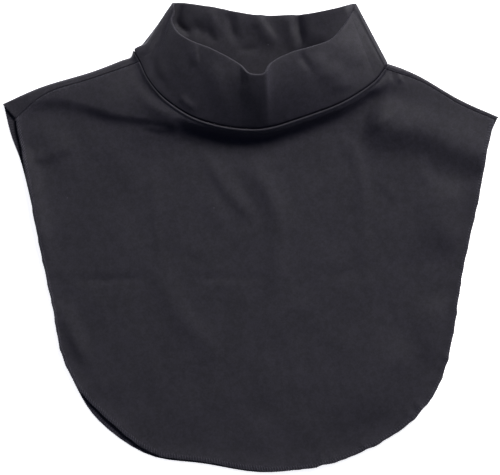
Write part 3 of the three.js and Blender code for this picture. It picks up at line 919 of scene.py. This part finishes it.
# Over places counted in stations: how far the middle pleat stands out, the rounding beside the side folds,
# and the wrinkles of the back
pleatProfile = table("place rise", [
    (0, 0), (4, 0), (4.9, -1.2), (5.15, -1), (5.5, 0.8), (6, 2.6), (6.6, 4.0), (7.0, 4.7), (7.25, 4.7),
    (7.65, 3.0), (8.05, 1.5), (8.5, 0.7), (9.2, 0.3), (10, 0), (stationCount, 0),
])
turnProfile = table("place rise", [
    (0, 0.8), (0.4, 0.2), (0.9, -0.9), (1.6, -0.5), (2.6, 0), (12.5, 0), (13, -0.3), (13.6, 0.6), (14.2, 1.1),
    (15, 0.6), (15.8, 0), (29.3, 0), (30.2, 0.8), (stationCount, 0.8),
])
wrinkleProfile = table("place share", [
    (0, 0), (19, 0), (20, 0.2), (21, 1), (22, 0.15), (23, 0.9), (24, 0.3), (25, 0.1), (26, 0),
    (stationCount, 0),
])
bandFolds = [
    softFold([(196, 45), (196, 57), (198, 68)], 0.9, 2.4, 6),
    softFold([(178, 96), (187, 106), (198, 112)], 1.3, 4, 2.2),
    softFold([(298, 52), (304, 61), (313, 74)], -1.0, 2.4, 2.8),
    softFold([(312, 52), (322, 68), (326, 90)], 0.9, 8, 9),
    softFold([(330, 60), (340, 80), (344, 96)], 1.3, 7, 9),
    softFold([(340, 36), (348, 52), (354, 72)], 0.9, 14, 9),
    softFold([(160, 40), (157, 60), (166, 88)], 1.2, 6, 7),
    softFold([(212, 58), (218, 84), (222, 112)], 0.9, 6, 8),
]
insideFolds = [
    softFold([(176, -2), (222, 3), (268, 8), (318, 6), (348, -2)], 3.0, 6, 26, (0.06, 0.06)),
    softFold([(349, -6), (346, 14), (338, 38), (322, 78)], 7.2, 8, 26, (0.25, 0.3)),
    softFold([(250, 10), (260, 20), (269, 34), (276, 48)], 1.9, 3.2, 8),
    softFold([(230, 8), (231, 26), (237, 46)], -1.7, 3.4, 3.4),
    softFold([(236, 46), (248, 50), (262, 45)], -0.7, 3, 4),
    softFold([(297, 8), (299, 28), (304, 50)], -2.4, 4.5, 4.5),
    softFold([(291, 10), (290, 26), (296, 48)], 0.9, 4, 7),
    softFold([(173, 16), (181, 27), (194, 36)], -2.4, 2.8, 4),
    softFold([(188, 22), (198, 29), (206, 40)], -0.9, 4, 5),
    softFold([(203, 24), (210, 34), (214, 46)], -0.9, 3, 4),
    softFold([(206, 6), (214, 20), (218, 40)], 1.1, 3.5, 7),
]


# A folded band whose two plies meet in a round top edge, with its shape worked out on its outer face first
def makeCollarBand():
    spans = [(0, lastFront, "frontSteps"), (lastFront, firstBack, "turnSteps"),
             (firstBack, lastBack, "backSteps"), (lastBack, stationCount, "turnSteps")]
    places = np.concatenate([
        np.linspace(first, last, (last - first) * collarBand[steps] + 1)[:-1] for first, last, steps in spans
    ])
    seam = onLoop(seamStations, places)
    edge = onLoop(edgeStations, places)
    ahead = onLoop(seamStations, places + 0.05)
    direction = unit(ahead - onLoop(seamStations, places - 0.05 + stationCount))
    along = edge - seam
    away = unit(along - direction * np.sum(along * direction, axis=1, keepdims=True))
    corner = bell((places - lastBack - collarBand["cornerPlace"]) / collarBand["cornerReach"])
    start = seam + away * (layout["seamGap"] + collarBand["cornerGap"] * corner)[:, None]
    opening = np.r_[collarFront["open"], np.zeros(stationCount - lastFront)]
    opened = np.interp(places, np.arange(stationCount + 1), opening)
    pleat = np.interp(places, pleatProfile["place"], pleatProfile["rise"])
    pleat = np.convolve(np.r_[pleat[-2:], pleat, pleat[:2]], [0.1, 0.2, 0.4, 0.2, 0.1], "valid")
    turn = np.interp(places, turnProfile["place"], turnProfile["rise"])
    wrinkle = np.interp(places, wrinkleProfile["place"], wrinkleProfile["share"])
    steps = np.linspace(0, 1, collarBand["rows"])
    rows = collarBand["rowGrowth"] * steps**2 + (1 - collarBand["rowGrowth"]) * steps
    outer = start[:, None] + (edge - start)[:, None] * rows[None, :, None]
    tuckedBehind = smoothstep(places, lastBack, lastBack + 2)
    tucked = np.where(places > lastFront, tuckedBehind, 1 - smoothstep(places, 0, 3))
    pinch = smoothstep(rows, 0.02, 0.15) * (1 - rows) ** 1.2
    outer[..., 0] += collarBand["tuckDepth"] * tucked[:, None] * pinch[None]
    bow = np.sin(math.pi * rows)[None]
    beyondSeam = smoothstep(rows, 0, 0.2)[None]
    lift = opened[:, None] * collarBand["swell"] * bow
    pleatFoot = collarBand["pleatFoot"]
    lift = lift + pleat[:, None] * (pleatFoot + (1 - pleatFoot) * rows)[None]
    lift = lift + turn[:, None] * beyondSeam + wrinkle[:, None] * collarBand["backWrinkle"] * bow
    isFront = smoothstep(places, 0.2, 1.4) * (1 - smoothstep(places, lastFront - 1.4, lastFront - 0.2))
    isBack = smoothstep(places, firstBack - 0.5, firstBack + 0.3)
    isBack = isBack * (1 - smoothstep(places, lastBack - 1.3, lastBack - 0.3))
    rough = unevenness(outer, seed=23, longest=60, shortest=14) * collarBand["unevenness"]
    lift = lift + isFront[:, None] * (foldHeights(outer, bandFolds) + rough) * beyondSeam
    inner = isBack[:, None] * (foldHeights(outer, insideFolds) + np.abs(rough))
    lift = lift + inner * smoothstep(rows, 0, 0.5)[None]
    outer[..., 2] += lift
    softened = outer[..., 2].copy()
    for _ in range(collarBand["softening"]):
        softened = (np.roll(softened, 1, axis=0) + 2 * softened + np.roll(softened, -1, axis=0)) / 4
    beside = np.exp(-(((places - lastFront - 0.2) / 0.8) ** 4)) + np.exp(-(((places - 0.5) / 1.1) ** 4))
    outer[..., 2] += (softened - outer[..., 2]) * (np.minimum(beside, 1)[:, None] * bow**0.3)
    normals = gridNormals(outer, True, False)
    half = collarBand["thickness"] / 2
    hidden = half - collarBand["ply"]
    reach = np.linalg.norm(edge - start, axis=1)[:, None]
    fromSeam = rows[None] * reach
    tuck = collarBand["seamTuck"] * bell(fromSeam / collarBand["tuckReach"])
    middle = outer - normals * (half + tuck[..., None])
    top = unit(middle[:, -1] - middle[:, -3])
    middle = middle - top[:, None] * (half * smoothstep(rows, 0.6, 1))[None, :, None]

    def section(offset):
        side = normals * offset
        angles = np.linspace(0, math.pi, collarBand["roundSteps"] + 1)[1:-1]
        arc = [
            middle[:, -1] + offset * (normals[:, -1] * math.cos(angle) + top * math.sin(angle))
            for angle in angles
        ]
        return [*np.moveaxis(middle + side, 1, 0), *arc, *np.moveaxis(middle - side, 1, 0)[::-1]]

    ring = np.stack(section(half) + section(hidden)[::-1], axis=1)
    columns, height = ring.shape[:2]
    faces = gridFaces(columns, height, 0, True, True, False)
    across = wayAlong(edge)
    plyHeight = collarBand["plyHeight"]
    heights = fromSeam.mean(axis=0)
    turned = np.full(collarBand["roundSteps"] - 1, plyHeight)
    heights = np.concatenate([heights, turned, 2 * plyHeight - heights[::-1]])
    heights = np.concatenate([heights, heights[::-1]])
    cloth = np.stack(np.broadcast_arrays(across[:, None], heights[None]), axis=-1)
    cloth = cloth + collarBand["clothMargin"]
    # A painted highlight: a paler colour along the round fold at the band's top edge
    foldLine = bell(heights - plyHeight)
    rimHighlight = np.broadcast_to(foldLine[None], (columns, height)).ravel() * collarBand["edgeHighlight"]
    points = ring.reshape(-1, 3)
    points[:, 2] = np.maximum(points[:, 2], collarBand["floorGap"])
    return makePiece(
        "collarBand", points, faces, cloth.reshape(-1, 2), bandJersey, {"rim": rimHighlight})


bandPiece = makeCollarBand()
print("collar band made", len(bandPiece.data.polygons), "faces")

# Overlock stitches. They follow rails at these depths from the edge.
stitching = {
    "pitch": 2.3,
    "depths": (0.0, 1.3, 2.6, 3.8),
    "unevenDepth": 0.12,
    "unevenPitch": 0.05,
    "threadRadius": 0.17,
    "sides": 4,
}

# One stitch of the thread: shares of its pitch and of its depth, and the face that it lies on
stitchPath = [
    (0.0, 1.0, 1), (0.18, 0.68, 1), (0.36, 0.34, 1), (0.46, 0.03, 0.9), (0.5, -0.12, 0),
    (0.54, 0.03, -0.9), (0.75, 0.5, -1), (0.97, 1.0, -1),
]


# The line on the middle of a ply at one distance from its outer edge
def railAt(grid, normals, thickness, distance):
    middle = grid - normals * thickness / 2
    reach = np.linalg.norm(middle - middle[:, -1:], axis=-1)
    rail = [
        [np.interp(distance, reach[column][::-1], middle[column, ::-1, axis]) for axis in range(3)]
        for column in range(len(middle))
    ]
    return np.array(rail)


def makeStitches(name, grid, flip, thickness, columns):
    normals = gridNormals(grid, False, flip)
    grid = grid[columns]
    normals = normals[columns]
    rails = np.array([railAt(grid, normals, thickness, distance) for distance in stitching["depths"]])
    reached = wayAlong(rails[0])
    count = int(reached[-1] / stitching["pitch"])
    lift = thickness / 2 + stitching["threadRadius"] * 0.6
    jitter = stitching["unevenPitch"]
    generator = random.Random(name)
    along = []
    depth = []
    side = []
    for stitch in range(count):
        reach = 1 + generator.uniform(-stitching["unevenDepth"], stitching["unevenDepth"])
        for forward, inward, face in stitchPath:
            along.append((stitch + forward + generator.uniform(-jitter, jitter)) * stitching["pitch"])
            depth.append(inward * reach)
            side.append(face)
    along, depth, side = (np.array(values) for values in (along, depth, side))
    span = np.interp(along, reached, np.arange(len(reached)))
    low = np.minimum(span.astype(int), len(reached) - 2)
    step = (span - low)[:, None]
    place = np.clip(depth, 0, 1) * (len(rails) - 1)
    ring = np.minimum(place.astype(int), len(rails) - 2)
    inner = (place - ring)[:, None]
    near = rails[ring, low] * (1 - step) + rails[ring, low + 1] * step
    far = rails[ring + 1, low] * (1 - step) + rails[ring + 1, low + 1] * step
    path = near * (1 - inner) + far * inner
    outward = unit(rails[0] - rails[1])
    outward = outward[low] * (1 - step) + outward[low + 1] * step
    path = path + outward * (np.maximum(-depth, 0) * 2)[:, None]
    facing = normals[low, -2] * (1 - step) + normals[low + 1, -2] * step
    path = path + facing * (side * lift)[:, None]
    heading = unit(np.gradient(path, axis=0))
    sideways = unit(np.cross(heading, facing + outward * 0.3))
    upright = np.cross(sideways, heading)
    angles = np.arange(stitching["sides"]) / stitching["sides"] * 2 * math.pi
    rings = [
        path + (sideways * math.cos(angle) + upright * math.sin(angle)) * stitching["threadRadius"]
        for angle in angles
    ]
    points = np.stack(rings, axis=1)
    faces = gridFaces(len(path), stitching["sides"], 0, False, True, False)
    cloth = np.stack([np.repeat(along, stitching["sides"]), np.tile(angles, len(path))], axis=-1)
    points = points.reshape(-1, 3)
    points[:, 2] = np.maximum(points[:, 2], 0)
    return makePiece(name, points, faces, cloth, threadBlack)


frontStitches = makeStitches("frontStitches", frontGrid, True, frontBib["thickness"], slice(None))

# The back's stitches leave out its rolled sides
rolledColumns = len(backGrid) // 9
backColumns = slice(rolledColumns, -rolledColumns)
backStitches = makeStitches("backStitches", backGrid, False, backBib["thickness"], backColumns)
print("stitches made", len(frontStitches.data.polygons), len(backStitches.data.polygons), "faces")

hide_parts("front_bib")
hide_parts("back_bib")
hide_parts("collar_band")

studio = {
    "cameraHeight": 4.0,
    "viewWidth": 0.425,
    "keyWatts": 238.0,
    "keySize": 1.3,
    "keyPlace": (1.55, 2.5, 2.05),
    "fillWatts": 2.0,
    "fillSize": 1.6,
    "fillPlace": (-0.5, -0.6, 1.9),
    "worldStrength": 0.09,
    "air": (0.23, 0.36, 1, 1),
    "lightColour": (0.96, 0.94, 0.955),
    "floor": (0.95, 0.95, 0.95, 1),
    "floorShade": (0.93, 0.93, 0.93, 1),
    "floorGlow": 0.9,
    "floorReach": 4,
    "floorDrop": 0.0004,
    "cameraAside": 0.0002,
    "sensorWidth": 36,
}


def makeLight(name, place, watts, size):
    light = bpy.data.lights.new(name, "AREA")
    light.energy = watts
    light.shape = "DISK"
    light.size = size
    light.color = studio["lightColour"]
    lamp = bpy.data.objects.new(name, light)
    bpy.context.scene.collection.objects.link(lamp)
    lamp.location = place
    lamp.rotation_mode = "QUATERNION"
    aim = -lamp.location
    lamp.rotation_quaternion = aim.to_track_quat("-Z", "Y")


def makeStudio():
    scene = bpy.context.scene
    mesh = bpy.data.meshes.new("floor")
    corners = [
        (x * studio["floorReach"], y * studio["floorReach"], -studio["floorDrop"])
        for x, y in ((-1, -1), (1, -1), (1, 1), (-1, 1))
    ]
    mesh.from_pydata(corners, [], [(0, 1, 2, 3)])
    shader = Shader("floorWhite")
    place = shader.node("ShaderNodeTexCoord", {}, {}, "Object")
    soft = shader.noise(place, 3.0)
    base = shader.mix(soft * 0.1, studio["floor"], studio["floorShade"])
    mesh.materials.append(shader.finish({"Base Color": base}, {
        "Roughness": 0.9, "Specular IOR Level": 0.1,
        "Emission Color": (1, 1, 1, 1), "Emission Strength": studio["floorGlow"],
    }))
    floor = bpy.data.objects.new("floor", mesh)
    scene.collection.objects.link(floor)
    makeLight("keyLight", studio["keyPlace"], studio["keyWatts"], studio["keySize"])
    makeLight("fillLight", studio["fillPlace"], studio["fillWatts"], studio["fillSize"])
    world = bpy.data.worlds.new("studioAir")
    world.use_nodes = True
    background = world.node_tree.nodes["Background"]
    background.inputs["Color"].default_value = studio["air"]
    background.inputs["Strength"].default_value = studio["worldStrength"]
    scene.world = world
    scene.view_settings.view_transform = "Standard"
    camera = bpy.data.cameras.new("camera")
    camera.sensor_width = studio["sensorWidth"]
    camera.lens = studio["sensorWidth"] * studio["cameraHeight"] / studio["viewWidth"]
    viewer = bpy.data.objects.new("camera", camera)
    viewer.location = (studio["cameraAside"], -studio["cameraAside"], studio["cameraHeight"])
    scene.collection.objects.link(viewer)
    scene.camera = viewer


makeStudio()
print("studio made")
